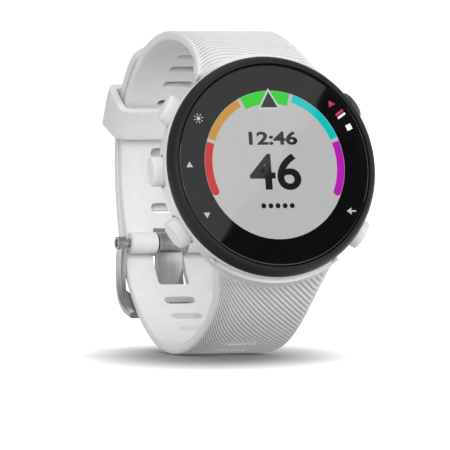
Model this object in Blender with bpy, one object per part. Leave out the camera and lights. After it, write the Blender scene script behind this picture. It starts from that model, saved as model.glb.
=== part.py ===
"""GPS running watch with a round case, five side buttons and a buckled silicone strap.

Metres, +Z up.  The watch is drawn in its own frame, which an empty then leans back:
X runs from 9 to 3 o'clock, Y from the glass into the wrist, Z from 6 to 12 o'clock.
The origin is the middle of the optical sensor's flat face, where the wrist bears.
"""

import math

import bmesh
import bpy
from mathutils import Matrix, Vector

# ---------------------------------------------------------------- driving sizes
LEAN_BACK = math.radians(11.1)

CASE_RADIUS = 0.01975
BEZEL_DEPTH = 0.0030
BEZEL_LIP = 0.0002
BEZEL_CHAMFER = 0.0012
BEZEL_WIDTH = 0.0016
BEZEL_LEDGE = 0.0011
GLASS_THICKNESS = 0.0011
MIDDLE_DEPTH = 0.0056
MIDDLE_INSET = 0.0004
MIDDLE_WALL = 0.0026
BACK_THICKNESS = 0.0010
BACK_INSET = 0.0022
WINDOW_RADIUS = 0.0068
WINDOW_FLANGE = 0.0010
WINDOW_BOSS = 0.0008
WINDOW_RISE = 0.0012
DISPLAY_RADIUS = 0.0141
DISPLAY_THICKNESS = 0.0011

GAP = 0.0003
PIN_CLEARANCE = 0.0001
PAST_FACE = 0.001

BUTTON_TRAVEL = 0.0006
BUTTON_HALF_LENGTH = 0.0027
BUTTON_HALF_DEPTH = 0.0020
BUTTON_SEAT = 0.0007
BUTTON_PROUD_LEFT = 0.0019
BUTTON_PROUD_RIGHT = 0.0025
BUTTON_STEM_RADIUS = 0.0010
BUTTON_STEM_LENGTH = 0.0030
BUTTON_TILT = math.radians(33.0)
BUTTON_RIM = 0.00035
CLIP_THICKNESS = 0.0003
CLIP_RADIUS = 0.0017
CLIP_SET_IN = 0.0006
SWITCH_HALF = 0.0014
SWITCH_THICKNESS = 0.0010

SCREW_RING = 0.0150
SCREW_HEAD_RADIUS = 0.0010
SCREW_HEAD = 0.0005
SCREW_SHANK_RADIUS = 0.0005
SCREW_LENGTH = 0.0016
CONTACT_RADIUS = 0.00045
CONTACT_LENGTH = 0.0019
CONTACT_SET_IN = 0.0001
CONTACT_PITCH = 0.0016
CONTACT_DROP = 0.0108

ANTENNA_WIDTH = 0.0015
HOLDER_THICKNESS = 0.0007
BOARD_RADIUS = 0.0118
BOARD_THICKNESS = 0.0007
SENSOR_BOARD_RADIUS = 0.0052
SENSOR_BOARD_THICKNESS = 0.0006
BATTERY_HALF_X = 0.0070
BATTERY_HALF_Z = 0.0085
BATTERY_CORNER = 0.0012
BATTERY_OFFSET = -0.0015
MOTOR_OFFSET = 0.0085
MOTOR_RADIUS = 0.0009
MOTOR_HALF_LENGTH = 0.0035

STRAP_OUTER = 0.0289
STRAP_THICKNESS = 0.0016
STRAP_EDGE = 0.0004
STRAP_END_DROP = 0.0001
STRAP_FLARE = 0.0028
FLARE_START = math.radians(16.0)
FLARE_POWER = 3.0
UPPER_HALF_WIDTH = 0.0096
UPPER_TAPER = 0.0014
LOWER_HALF_WIDTH = 0.0091
TAIL_HALF_WIDTH = 0.0086
TAIL_TIP_ANGLE = math.radians(15.0)
TAIL_TIP_LENGTH = math.radians(14.0)
TAIL_GAP = 0.0018
TAIL_TUCK = 0.0016

SLOT_HALF_LENGTH = 0.0030
SLOT_HALF_WIDTH = 0.0009
LOWER_SLOT_START = math.radians(32.9)
LOWER_SLOT_PITCH = math.radians(9.3)
LOWER_SLOT_COUNT = 18
UPPER_SLOT_START = math.radians(8.3)
UPPER_SLOT_PITCH = math.radians(7.9)
UPPER_SLOT_SPREAD = math.radians(0.23)
UPPER_SLOT_COUNT = 9
WINDOW_SLOT_START = math.radians(103.8)
WINDOW_SLOT_END = math.radians(117.5)

LUG_PIN_SET_IN = 0.00035
LUG_PIN_DROP = 0.0014
LUG_COVER_GAP = 0.00037
LUG_RADIUS = 0.0012
LUG_WIDTH = 0.0018
LUG_ROOT_SET_IN = 0.0018
LUG_ROOT_RISE = 0.0018
KNUCKLE_RADIUS = 0.0014
KNUCKLE_HALF_WIDTH = 0.0073
KNUCKLE_RISE = 0.0013
BAR_RADIUS = 0.0006
BAR_TIP_RADIUS = 0.00045
BAR_TIP_LENGTH = 0.0012

BUCKLE_PIN_ANGLE = math.radians(101.4)
BUCKLE_PIN_RADIUS = 0.0007
ROLL_RADIUS = 0.00195
ROLL_HALF_WIDTH = 0.0081
TONGUE_WIDTH = 0.0053
TONGUE_THICKNESS = 0.0007
TONGUE_ROLL = 0.00185
TONGUE_TAPER = 0.0008
FRAME_ARM_WIDTH = 0.0015
FRAME_THICKNESS = 0.0019
FRAME_ARM_LEAD = 0.0034
FRAME_BAR_START = math.radians(120.5)
FRAME_BAR_END = math.radians(127.5)
FRAME_EYE_RADIUS = 0.0012

KEEPER_ANGLE = math.radians(50.6)
KEEPER_SWEEP = math.radians(13.0)
KEEPER_TRAVEL = math.radians(6.0)
KEEPER_WALL = 0.0013

ROUND_STEPS = 64
SMALL_STEPS = 16
STRAP_STEP = math.radians(3.0)

# ------------------------------------------------- places that follow the sizes
CASE_THICKNESS = BEZEL_DEPTH + GAP + MIDDLE_DEPTH + GAP + BACK_THICKNESS + WINDOW_RISE
LUG_PIN_HEIGHT = CASE_RADIUS - LUG_PIN_SET_IN
LUG_PIN_DEPTH = BEZEL_DEPTH + GAP + MIDDLE_DEPTH + LUG_PIN_DROP
LUG_PIN_RING = STRAP_OUTER - STRAP_THICKNESS - LUG_COVER_GAP - LUG_RADIUS
LOOP_CENTRE_DEPTH = LUG_PIN_DEPTH + math.sqrt(LUG_PIN_RING ** 2 - LUG_PIN_HEIGHT ** 2)
STRAP_END_DEPTH = BEZEL_DEPTH + STRAP_END_DROP
STRAP_FRONT_ANGLE = -math.asin((LOOP_CENTRE_DEPTH - STRAP_END_DEPTH) / STRAP_OUTER)
TAIL_LIFT = STRAP_THICKNESS + TAIL_GAP
BUCKLE_PIN_RING = STRAP_OUTER - STRAP_THICKNESS - GAP - ROLL_RADIUS

# ------------------------------------------------------------------ fresh scene
for old in list(bpy.data.objects):
    bpy.data.objects.remove(old, do_unlink=True)

TO_DEPTH = Matrix.Rotation(-math.pi / 2, 4, "X")
TO_SIDE = Matrix.Rotation(math.pi / 2, 4, "Y")

watch = bpy.data.objects.new("watch_frame", None)
bpy.context.collection.objects.link(watch)
lean = Matrix.Rotation(-LEAN_BACK, 4, "X")
watch.matrix_world = lean @ Matrix.Translation((0, -CASE_THICKNESS, 0))


# ---------------------------------------------------------------------- helpers
def finish(name, colour, roughness, metallic=0.0):
    """Makes a plain Principled material."""
    made = bpy.data.materials.new(name)
    made.use_nodes = True
    shader = made.node_tree.nodes["Principled BSDF"]
    shader.inputs["Base Color"].default_value = (*colour, 1.0)
    shader.inputs["Roughness"].default_value = roughness
    shader.inputs["Metallic"].default_value = metallic
    return made


def add_plate(bm, outline, low, high, place=Matrix()):
    """Adds the (x, y) outline, extruded from z = low to z = high and then placed."""
    base = [bm.verts.new((x, y, low)) for x, y in outline]
    grown = bmesh.ops.extrude_face_region(bm, geom=[bm.faces.new(base)])
    top = [part for part in grown["geom"] if isinstance(part, bmesh.types.BMVert)]
    bmesh.ops.translate(bm, vec=(0, 0, high - low), verts=top)
    bmesh.ops.transform(bm, matrix=place, verts=base + top)


def add_turned(bm, profile, place=Matrix(), steps=ROUND_STEPS):
    """Turns a (radius, height) outline about Z; one that starts at radius 0 is solid."""
    before = set(bm.verts)
    verts = [bm.verts.new((radius, 0, height)) for radius, height in profile]
    edges = [bm.edges.new(pair) for pair in zip(verts, verts[1:])]
    if profile[0][0] > 0:
        edges.append(bm.edges.new((verts[-1], verts[0])))
    bmesh.ops.spin(bm, geom=verts + edges, axis=(0, 0, 1), cent=(0, 0, 0),
                   angle=2 * math.pi, steps=steps, use_merge=True)
    added = [vert for vert in bm.verts if vert not in before]
    bmesh.ops.remove_doubles(bm, verts=added, dist=1e-7)
    added = [vert for vert in bm.verts if vert not in before]
    bmesh.ops.transform(bm, matrix=place, verts=added)


def add_sweep(bm, sections):
    """Joins a list of like sections, each a ring of points, into one closed solid."""
    face = bm.faces.new([bm.verts.new(point) for point in sections[0]])
    inside = []
    for section in sections[1:]:
        grown = bmesh.ops.extrude_face_region(bm, geom=[face])
        face = next(part for part in grown["geom"] if isinstance(part, bmesh.types.BMFace))
        inside.append(face)
        for vert, point in zip(face.verts, section):
            vert.co = point
    bmesh.ops.delete(bm, geom=inside[:-1], context="FACES_ONLY")


def solid(name, bm, material, place=Matrix()):
    """Turns a bmesh into a named object of the watch, with its origin at place."""
    bmesh.ops.recalc_face_normals(bm, faces=bm.faces)
    mesh = bpy.data.meshes.new(name)
    bm.to_mesh(mesh)
    bm.free()
    if material:
        mesh.materials.append(material)
    mesh.shade_smooth()
    mesh.set_sharp_from_angle(angle=math.radians(32))
    made = bpy.data.objects.new(name, mesh)
    made.parent = watch
    made.matrix_local = place
    bpy.context.collection.objects.link(made)
    return made


def shape_with(body, name, bm, place=Matrix(), operation="DIFFERENCE"):
    """Cuts a hidden tool out of a body, or joins it on."""
    tool = solid(name, bm, None, place)
    tool.hide_render = True
    tool.display_type = "WIRE"
    step = body.modifiers.new(name, "BOOLEAN")
    step.operation = operation
    step.solver = "EXACT"
    step.object = tool


def turned(name, profile, material, place=Matrix(), steps=ROUND_STEPS):
    """Makes one turned piece."""
    bm = bmesh.new()
    add_turned(bm, profile, steps=steps)
    return solid(name, bm, material, place)


def plate(name, outline, low, high, material, place=Matrix()):
    """Makes one flat piece."""
    bm = bmesh.new()
    add_plate(bm, outline, low, high)
    return solid(name, bm, material, place)


def ellipse(half_x, half_y, steps=24):
    """Gives the outline of an ellipse."""
    turns = [2 * math.pi * step / steps for step in range(steps)]
    return [(half_x * math.cos(turn), half_y * math.sin(turn)) for turn in turns]


def stadium(start, end, radius, steps=8):
    """Gives the outline of a bar with round ends, from one (x, y) point to another."""
    start, end = Vector(start), Vector(end)
    heading = math.atan2(end.y - start.y, end.x - start.x)
    outline = []
    for centre, first in ((end, heading - math.pi / 2), (start, heading + math.pi / 2)):
        for step in range(steps + 1):
            turn = first + math.pi * step / steps
            outline.append((centre.x + radius * math.cos(turn), centre.y + radius * math.sin(turn)))
    return outline


def rounded_box(half_x, half_y, corner, steps=3):
    """Gives the outline of a rectangle with round corners."""
    outline = []
    for quarter, (sign_x, sign_y) in enumerate(((1, 1), (-1, 1), (-1, -1), (1, -1))):
        centre_x = sign_x * (half_x - corner)
        centre_y = sign_y * (half_y - corner)
        for step in range(steps + 1):
            turn = math.pi / 2 * (quarter + step / steps)
            outline.append((centre_x + corner * math.cos(turn), centre_y + corner * math.sin(turn)))
    return outline


def ease(value, start, end):
    """Goes smoothly from 0 at start to 1 at end."""
    share = min(max((value - start) / (end - start), 0.0), 1.0)
    return share * share * (3 - 2 * share)


def side_place(clock_angle, depth):
    """Frame on the case's axis, Z pointing out of its side, X into the wrist."""
    out = Vector((math.cos(clock_angle), 0, math.sin(clock_angle)))
    along = Vector((-math.sin(clock_angle), 0, math.cos(clock_angle)))
    turn = Matrix((Vector((0, 1, 0)), along, out)).transposed().to_4x4()
    return Matrix.Translation((0, depth, 0)) @ turn


def depth_place(depth, x=0.0, z=0.0):
    """Frame at a depth behind the glass, Z pointing into the wrist."""
    return Matrix.Translation((x, depth, z)) @ TO_DEPTH


# -------------------------------------------------------------------- materials
black_bezel = finish("black_polymer", (0.035, 0.035, 0.038), 0.32)
black_glass = finish("cover_glass", (0.012, 0.012, 0.014), 0.05)
white_polymer = finish("white_polymer", (0.80, 0.80, 0.81), 0.42)
grey_polymer = finish("grey_polymer", (0.55, 0.56, 0.57), 0.45)
silicone = finish("white_silicone", (0.82, 0.82, 0.82), 0.55)
steel = finish("brushed_steel", (0.48, 0.48, 0.49), 0.30, 1.0)
gold = finish("gold_contact", (0.83, 0.62, 0.25), 0.25, 1.0)
rubber = finish("black_rubber", (0.03, 0.03, 0.03), 0.75)
board_green = finish("circuit_board", (0.02, 0.16, 0.07), 0.45)
foil = finish("battery_foil", (0.60, 0.60, 0.62), 0.35, 1.0)
sensor_black = finish("sensor_window", (0.015, 0.015, 0.018), 0.08)
screen = finish("display_panel", (0.50, 0.50, 0.50), 0.35)

# --------------------------------------------------- case: levels behind the glass
middle_top = BEZEL_DEPTH + GAP
middle_end = middle_top + MIDDLE_DEPTH
middle_radius = CASE_RADIUS - MIDDLE_INSET
cavity_radius = middle_radius - MIDDLE_WALL
back_top = middle_end + GAP
back_end = back_top + BACK_THICKNESS
back_radius = CASE_RADIUS - BACK_INSET
bezel_inner = CASE_RADIUS - BEZEL_WIDTH
ledge_inner = bezel_inner - BEZEL_LEDGE
glass_radius = bezel_inner - GAP / 3
gasket_top = GLASS_THICKNESS + GAP / 3
gasket_end = gasket_top + 0.0004
ledge_top = gasket_end + GAP / 3

# ------------------------------------------------------------- bezel, glass, seal
turned("bezel_ring", [
    (bezel_inner, -BEZEL_LIP),
    (CASE_RADIUS - BEZEL_CHAMFER, -BEZEL_LIP),
    (CASE_RADIUS - BEZEL_CHAMFER / 4, 0.0009),
    (CASE_RADIUS, 0.0018),
    (CASE_RADIUS - 0.0002, BEZEL_DEPTH),
    (ledge_inner, BEZEL_DEPTH),
    (ledge_inner, ledge_top),
    (bezel_inner, ledge_top),
], black_bezel, TO_DEPTH)
turned("cover_glass", [
    (0, 0),
    (glass_radius - 0.0004, 0),
    (glass_radius, 0.0003),
    (glass_radius, GLASS_THICKNESS),
    (0, GLASS_THICKNESS),
], black_glass, TO_DEPTH)
turned("glass_gasket", [
    (ledge_inner + 0.0002, gasket_top),
    (glass_radius - 0.0001, gasket_top),
    (glass_radius - 0.0001, gasket_end),
    (ledge_inner + 0.0002, gasket_end),
], rubber, TO_DEPTH, steps=48)

# ------------------------------------------------------------------- middle case
rough_bore = cavity_radius - 0.0012
middle_case = turned("middle_case", [
    (rough_bore, middle_top),
    (middle_radius - 0.0002, middle_top),
    (middle_radius, middle_top + 0.0006),
    (middle_radius - 0.0002, middle_top + MIDDLE_DEPTH * 0.55),
    (middle_radius - 0.0006, middle_top + MIDDLE_DEPTH * 0.82),
    (middle_radius - 0.0014, middle_end),
    (rough_bore, middle_end),
], white_polymer, TO_DEPTH)

lug_inner = KNUCKLE_HALF_WIDTH + GAP
lug_root = (cavity_radius + MIDDLE_WALL / 2 - LUG_ROOT_SET_IN, middle_end - LUG_ROOT_RISE)
lugs = bmesh.new()
lug_holes = bmesh.new()
for sign in (1, -1):
    for side in (-1, 1):
        low = lug_inner if side > 0 else -lug_inner - LUG_WIDTH
        # The plate's outline is drawn in (height, depth) and stacked along X.
        upright = Matrix(((0, 0, 1, 0), (0, 1, 0, 0), (sign, 0, 0, 0), (0, 0, 0, 1)))
        reach = stadium(lug_root, (LUG_PIN_HEIGHT, LUG_PIN_DEPTH), LUG_RADIUS)
        add_plate(lugs, reach, low, low + LUG_WIDTH, upright)
        hole_low = lug_inner - GAP if side > 0 else -lug_inner - BAR_TIP_LENGTH - GAP
        place = Matrix.Translation((0, LUG_PIN_DEPTH, sign * LUG_PIN_HEIGHT)) @ TO_SIDE
        add_plate(lug_holes, ellipse(BAR_TIP_RADIUS + PIN_CLEARANCE,
                                     BAR_TIP_RADIUS + PIN_CLEARANCE, 12),
                  hole_low, hole_low + BAR_TIP_LENGTH + 2 * GAP, place)
shape_with(middle_case, "lug_blocks", lugs, operation="UNION")
shape_with(middle_case, "lug_bar_holes", lug_holes)

# The case is bored to size after the lugs are joined to its wall.
cavity = bmesh.new()
add_turned(cavity, [(0, 0), (cavity_radius, 0), (cavity_radius, middle_end + 0.002),
                    (0, middle_end + 0.002)], TO_DEPTH)
half_step = Matrix.Rotation(math.pi / ROUND_STEPS, 4, "Y")
shape_with(middle_case, "case_cavity", cavity, half_step)

buttons = {
    "light": math.pi - BUTTON_TILT,
    "up": math.pi,
    "down": math.pi + BUTTON_TILT,
    "start": BUTTON_TILT,
    "back": -BUTTON_TILT,
}
button_depth = middle_top + MIDDLE_DEPTH * 0.48
button_inner = middle_radius - BUTTON_SEAT
pocket_floor = button_inner - BUTTON_TRAVEL - GAP
stem_end = button_inner - BUTTON_STEM_LENGTH
bore_radius = BUTTON_STEM_RADIUS + PIN_CLEARANCE
pockets = bmesh.new()
for turn in buttons.values():
    place = side_place(turn, button_depth)
    add_plate(pockets, ellipse(BUTTON_HALF_DEPTH + GAP, BUTTON_HALF_LENGTH + GAP),
              pocket_floor, CASE_RADIUS + PAST_FACE, place)
bores = bmesh.new()
for turn in buttons.values():
    place = side_place(turn, button_depth)
    add_plate(bores, ellipse(bore_radius, bore_radius, SMALL_STEPS),
              cavity_radius - PAST_FACE, pocket_floor + GAP, place)
shape_with(middle_case, "button_pockets", pockets)
shape_with(middle_case, "button_bores", bores)

# ----------------------------------------------------------------------- buttons
for name, turn in buttons.items():
    place = side_place(turn, button_depth)
    proud = BUTTON_PROUD_RIGHT if math.cos(turn) > 0 else BUTTON_PROUD_LEFT
    button_face = middle_radius + proud
    cap = bmesh.new()
    outer = ellipse(BUTTON_HALF_DEPTH, BUTTON_HALF_LENGTH)
    top = ellipse(BUTTON_HALF_DEPTH - BUTTON_RIM, BUTTON_HALF_LENGTH - BUTTON_RIM)
    add_sweep(cap, [[(x, y, level) for x, y in ring] for ring, level in (
        (outer, button_inner), (outer, button_face - BUTTON_RIM), (top, button_face))])
    cap_material = black_bezel if name == "start" else white_polymer
    button = solid("button_" + name, cap, cap_material, place)
    stem = bmesh.new()
    add_plate(stem, ellipse(BUTTON_STEM_RADIUS, BUTTON_STEM_RADIUS, SMALL_STEPS),
              stem_end, button_inner + 0.0003)
    shape_with(button, "stem_" + name, stem, place, "UNION")

    # The clip snaps round the stem just inside the wall and stops it falling out.
    clip_out = cavity_radius - GAP - CLIP_SET_IN
    turned("stem_clip_" + name, [
        (bore_radius, clip_out - CLIP_THICKNESS),
        (CLIP_RADIUS, clip_out - CLIP_THICKNESS),
        (CLIP_RADIUS, clip_out),
        (bore_radius, clip_out),
    ], steel, place, SMALL_STEPS)
    switch_out = stem_end - BUTTON_TRAVEL - GAP
    plate("button_switch_" + name, rounded_box(SWITCH_HALF, SWITCH_HALF, 0.0003),
          switch_out - SWITCH_THICKNESS, switch_out, grey_polymer, place)

# ------------------------------------------------------------- back of the case
screw_turns = [math.radians(angle) for angle in (45, 135, 225, 315)]

back_cover = turned("back_cover", [
    (WINDOW_RADIUS + GAP, back_top),
    (back_radius, back_top),
    (back_radius, back_end - 0.0003),
    (back_radius - 0.0004, back_end),
    (WINDOW_RADIUS + GAP, back_end),
], white_polymer, TO_DEPTH)
shank_hole = SCREW_SHANK_RADIUS + PIN_CLEARANCE
head_hole = SCREW_HEAD_RADIUS + PIN_CLEARANCE
contact_hole = CONTACT_RADIUS + PIN_CLEARANCE
hole_start = back_top - PAST_FACE
hole_end = back_end + PAST_FACE
back_holes = bmesh.new()
for turn in screw_turns:
    x, z = SCREW_RING * math.cos(turn), SCREW_RING * math.sin(turn)
    place = depth_place(0, x, z)
    add_plate(back_holes, ellipse(shank_hole, shank_hole, 12), hole_start, hole_end, place)
contacts = [CONTACT_PITCH * step for step in (-1.5, -0.5, 0.5, 1.5)]
for x in contacts:
    place = depth_place(0, x, -CONTACT_DROP)
    add_plate(back_holes, ellipse(contact_hole, contact_hole, 12), hole_start, hole_end, place)
shape_with(back_cover, "back_cover_holes", back_holes)
head_seats = bmesh.new()
for turn in screw_turns:
    x, z = SCREW_RING * math.cos(turn), SCREW_RING * math.sin(turn)
    add_plate(head_seats, ellipse(head_hole, head_hole, SMALL_STEPS),
              back_end - SCREW_HEAD - PIN_CLEARANCE, hole_end, depth_place(0, x, z))
shape_with(back_cover, "screw_head_seats", head_seats)

for number, turn in enumerate(screw_turns, 1):
    x, z = SCREW_RING * math.cos(turn), SCREW_RING * math.sin(turn)
    turned("back_screw_%d" % number, [
        (0, -SCREW_LENGTH),
        (SCREW_SHANK_RADIUS, -SCREW_LENGTH),
        (SCREW_SHANK_RADIUS, -SCREW_HEAD),
        (SCREW_HEAD_RADIUS, -SCREW_HEAD),
        (SCREW_HEAD_RADIUS, 0),
        (0, 0),
    ], steel, depth_place(back_end, x, z), SMALL_STEPS)
for number, x in enumerate(contacts, 1):
    turned("charging_contact_%d" % number, [
        (0, -CONTACT_LENGTH - CONTACT_SET_IN),
        (CONTACT_RADIUS, -CONTACT_LENGTH - CONTACT_SET_IN),
        (CONTACT_RADIUS, -CONTACT_SET_IN),
        (0, -CONTACT_SET_IN),
    ], gold, depth_place(back_end, x, -CONTACT_DROP), 12)

window_inner = back_top - WINDOW_BOSS
turned("sensor_window", [
    (0, window_inner),
    (WINDOW_RADIUS - WINDOW_FLANGE, window_inner),
    (WINDOW_RADIUS - WINDOW_FLANGE, back_top),
    (WINDOW_RADIUS, back_top),
    (WINDOW_RADIUS, back_end + 0.0003),
    (WINDOW_RADIUS - WINDOW_FLANGE, CASE_THICKNESS),
    (0, CASE_THICKNESS),
], sensor_black, TO_DEPTH, 48)
seal_inner = cavity_radius + 0.0004
turned("back_gasket", [
    (seal_inner, middle_end + 0.00005),
    (seal_inner + 0.0007, middle_end + 0.00005),
    (seal_inner + 0.0007, back_top - 0.00005),
    (seal_inner, back_top - 0.00005),
], rubber, TO_DEPTH, 48)

# -------------------------------------------------------------- inside the case
display_top = GLASS_THICKNESS + 0.0002
display_end = display_top + DISPLAY_THICKNESS
turned("display_module", [
    (0, display_top),
    (DISPLAY_RADIUS, display_top),
    (DISPLAY_RADIUS, display_end),
    (0, display_end),
], screen, TO_DEPTH, 48)
antenna_inner = DISPLAY_RADIUS + GAP
antenna_top = display_top + 0.0004
turned("antenna_ring", [
    (antenna_inner, antenna_top),
    (antenna_inner + ANTENNA_WIDTH, antenna_top),
    (antenna_inner + ANTENNA_WIDTH, display_end),
    (antenna_inner, display_end),
], gold, TO_DEPTH, 48)
holder_radius = cavity_radius - GAP
holder_top = display_end + GAP
holder_end = holder_top + HOLDER_THICKNESS
turned("display_holder", [
    (0, holder_top),
    (holder_radius - 0.0008, holder_top),
    (holder_radius - 0.0008, holder_end),
    (0, holder_end),
], grey_polymer, TO_DEPTH, 48)
board_top = holder_end + GAP
board_end = board_top + BOARD_THICKNESS
plate("main_board", ellipse(BOARD_RADIUS, BOARD_RADIUS, 48), board_top, board_end,
      board_green, TO_DEPTH)
sensor_board_top = window_inner - GAP - SENSOR_BOARD_THICKNESS
battery_top = board_end + GAP
battery_end = sensor_board_top - GAP
plate("battery", rounded_box(BATTERY_HALF_X, BATTERY_HALF_Z, BATTERY_CORNER), battery_top,
      battery_end, foil, depth_place(0, BATTERY_OFFSET))
plate("sensor_board", ellipse(SENSOR_BOARD_RADIUS, SENSOR_BOARD_RADIUS, 32), sensor_board_top,
      sensor_board_top + SENSOR_BOARD_THICKNESS, board_green, TO_DEPTH)
motor_place = Matrix.Translation((MOTOR_OFFSET, board_end + GAP + MOTOR_RADIUS, 0))
turned("vibration_motor", [
    (0, -MOTOR_HALF_LENGTH),
    (MOTOR_RADIUS, -MOTOR_HALF_LENGTH),
    (MOTOR_RADIUS, MOTOR_HALF_LENGTH),
    (0, MOTOR_HALF_LENGTH),
], foil, motor_place, SMALL_STEPS)

# ------------------------------------------------------------------------ strap
loop_place = Matrix.Translation((0, LOOP_CENTRE_DEPTH, 0))


def loop_point(ring, angle, x=0.0):
    """Point on the loop: angle 0 is over 12 o'clock, a quarter turn is the back."""
    return Vector((x, ring * math.sin(angle), ring * math.cos(angle)))


def loop_frame(ring, angle):
    """Frame on the loop: X across the strap, Y along it towards 6 o'clock, Z out."""
    along = Vector((0, math.cos(angle), -math.sin(angle)))
    out = Vector((0, math.sin(angle), math.cos(angle)))
    turn = Matrix((Vector((1, 0, 0)), along, out)).transposed().to_4x4()
    return Matrix.Translation(loop_point(ring, angle)) @ turn


def flare(angle):
    """Extra half width where the strap opens out to meet the case."""
    share = max(0.0, abs(angle) - FLARE_START) / (abs(STRAP_FRONT_ANGLE) - FLARE_START)
    return STRAP_FLARE * share ** FLARE_POWER


def upper_half_width(angle):
    """Half width of the buckle half of the strap."""
    if angle < 0:
        return UPPER_HALF_WIDTH + flare(angle)
    return UPPER_HALF_WIDTH - UPPER_TAPER * angle / BUCKLE_PIN_ANGLE


def upper_outer(angle):
    """Outer radius of the buckle half, which tucks in towards its pin."""
    tuck = STRAP_OUTER - (BUCKLE_PIN_RING + ROLL_RADIUS)
    return STRAP_OUTER - tuck * ease(angle, math.radians(40), math.radians(95))


def lower_half_width(angle):
    """Half width of the hole half, from the case down to its rounded tip."""
    if angle > math.pi:
        return LOWER_HALF_WIDTH + flare(angle - math.pi)
    narrow = (LOWER_HALF_WIDTH - TAIL_HALF_WIDTH) * ease(angle, math.radians(180), math.radians(125))
    width = LOWER_HALF_WIDTH - narrow
    into_tip = (TAIL_TIP_ANGLE + TAIL_TIP_LENGTH - angle) / TAIL_TIP_LENGTH
    if into_tip > 0:
        width *= math.sqrt(max(1 - into_tip ** 2, 0.02))
    return width


def lower_outer(angle):
    """Outer radius of the hole half, whose tail lifts off over the buckle half."""
    lift = TAIL_LIFT * ease(angle, math.radians(92), math.radians(38))
    tuck = TAIL_TUCK * ease(angle, math.radians(34), math.radians(12))
    return STRAP_OUTER + lift - tuck


def strap_section(angle, half_width, outer):
    """Ring of points across the strap, with its four long edges eased."""
    inner = outer - STRAP_THICKNESS
    corners = ((-half_width, inner + STRAP_EDGE), (-half_width, outer - STRAP_EDGE),
               (-half_width + STRAP_EDGE, outer), (half_width - STRAP_EDGE, outer),
               (half_width, outer - STRAP_EDGE), (half_width, inner + STRAP_EDGE),
               (half_width - STRAP_EDGE, inner), (-half_width + STRAP_EDGE, inner))
    return [loop_point(ring, angle, x) for x, ring in corners]


def strap_band(name, start, end, half_width, outer):
    """Sweeps one strap half round the loop between two angles."""
    count = max(2, round(abs(end - start) / STRAP_STEP))
    bm = bmesh.new()
    angles = [start + (end - start) * step / count for step in range(count + 1)]
    add_sweep(bm, [strap_section(angle, half_width(angle), outer(angle)) for angle in angles])
    return solid(name, bm, silicone, loop_place)


# The buckle half hangs from the 12 o'clock lugs and ends in a roll round the buckle's pin.
pin_centre = loop_point(BUCKLE_PIN_RING, BUCKLE_PIN_ANGLE)
pin_place = loop_place @ Matrix.Translation(pin_centre)
side_pin = pin_place @ TO_SIDE
strap_upper = strap_band("strap_upper", STRAP_FRONT_ANGLE, BUCKLE_PIN_ANGLE - math.radians(1.5),
                         upper_half_width, upper_outer)
roll = bmesh.new()
add_plate(roll, ellipse(ROLL_RADIUS, ROLL_RADIUS, SMALL_STEPS), -ROLL_HALF_WIDTH, ROLL_HALF_WIDTH)
shape_with(strap_upper, "buckle_roll", roll, side_pin, "UNION")

# The hole half hangs from the 6 o'clock lugs, and its tail lies outside the buckle half.
strap_lower = strap_band("strap_lower", math.pi - STRAP_FRONT_ANGLE, TAIL_TIP_ANGLE,
                         lower_half_width, lower_outer)

for strap, sign, label in ((strap_upper, 1, "upper"), (strap_lower, -1, "lower")):
    bar_place = Matrix.Translation((0, LUG_PIN_DEPTH, sign * LUG_PIN_HEIGHT)) @ TO_SIDE
    knuckle = bmesh.new()
    into_strap = (-sign * KNUCKLE_RISE * 0.8, -KNUCKLE_RISE * 0.6)
    outline = stadium((0, 0), into_strap, KNUCKLE_RADIUS)
    add_plate(knuckle, outline, -KNUCKLE_HALF_WIDTH, KNUCKLE_HALF_WIDTH)
    shape_with(strap, "knuckle_" + label, knuckle, bar_place, "UNION")
    bore = bmesh.new()
    add_plate(bore, ellipse(BAR_RADIUS + PIN_CLEARANCE, BAR_RADIUS + PIN_CLEARANCE, 12),
              -KNUCKLE_HALF_WIDTH - PAST_FACE, KNUCKLE_HALF_WIDTH + PAST_FACE)
    shape_with(strap, "bar_bore_" + label, bore, bar_place)
    # The strap's end is hollowed to sit round the case.
    room = bmesh.new()
    add_turned(room, [(0, -0.002), (CASE_RADIUS + GAP, -0.002),
                      (CASE_RADIUS + GAP, BEZEL_DEPTH + GAP),
                      (middle_radius + GAP, BEZEL_DEPTH + GAP),
                      (middle_radius + GAP, middle_end - 0.0009),
                      (middle_radius - 0.0009, middle_end + GAP),
                      (0, middle_end + GAP)])
    shape_with(strap, "case_room_" + label, room, TO_DEPTH)
    lug_room = bmesh.new()
    upright = Matrix(((0, 0, 1, 0), (0, 1, 0, 0), (sign, 0, 0, 0), (0, 0, 0, 1)))
    outline = stadium(lug_root, (LUG_PIN_HEIGHT, LUG_PIN_DEPTH), LUG_RADIUS + GAP)
    for low in (lug_inner - GAP, -lug_inner - LUG_WIDTH - GAP):
        add_plate(lug_room, outline, low, low + LUG_WIDTH + 2 * GAP, upright)
    shape_with(strap, "lug_room_" + label, lug_room)
    tip_end = KNUCKLE_HALF_WIDTH + BAR_TIP_LENGTH
    turned("spring_bar_" + label, [
        (0, -tip_end),
        (BAR_TIP_RADIUS, -tip_end),
        (BAR_TIP_RADIUS, -KNUCKLE_HALF_WIDTH),
        (BAR_RADIUS, -KNUCKLE_HALF_WIDTH),
        (BAR_RADIUS, KNUCKLE_HALF_WIDTH),
        (BAR_TIP_RADIUS, KNUCKLE_HALF_WIDTH),
        (BAR_TIP_RADIUS, tip_end),
        (0, tip_end),
    ], steel, bar_place, 12)

# Slots run across both halves; the one round the tongue is stretched along the strap.
slot_span = SLOT_HALF_LENGTH - SLOT_HALF_WIDTH


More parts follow.
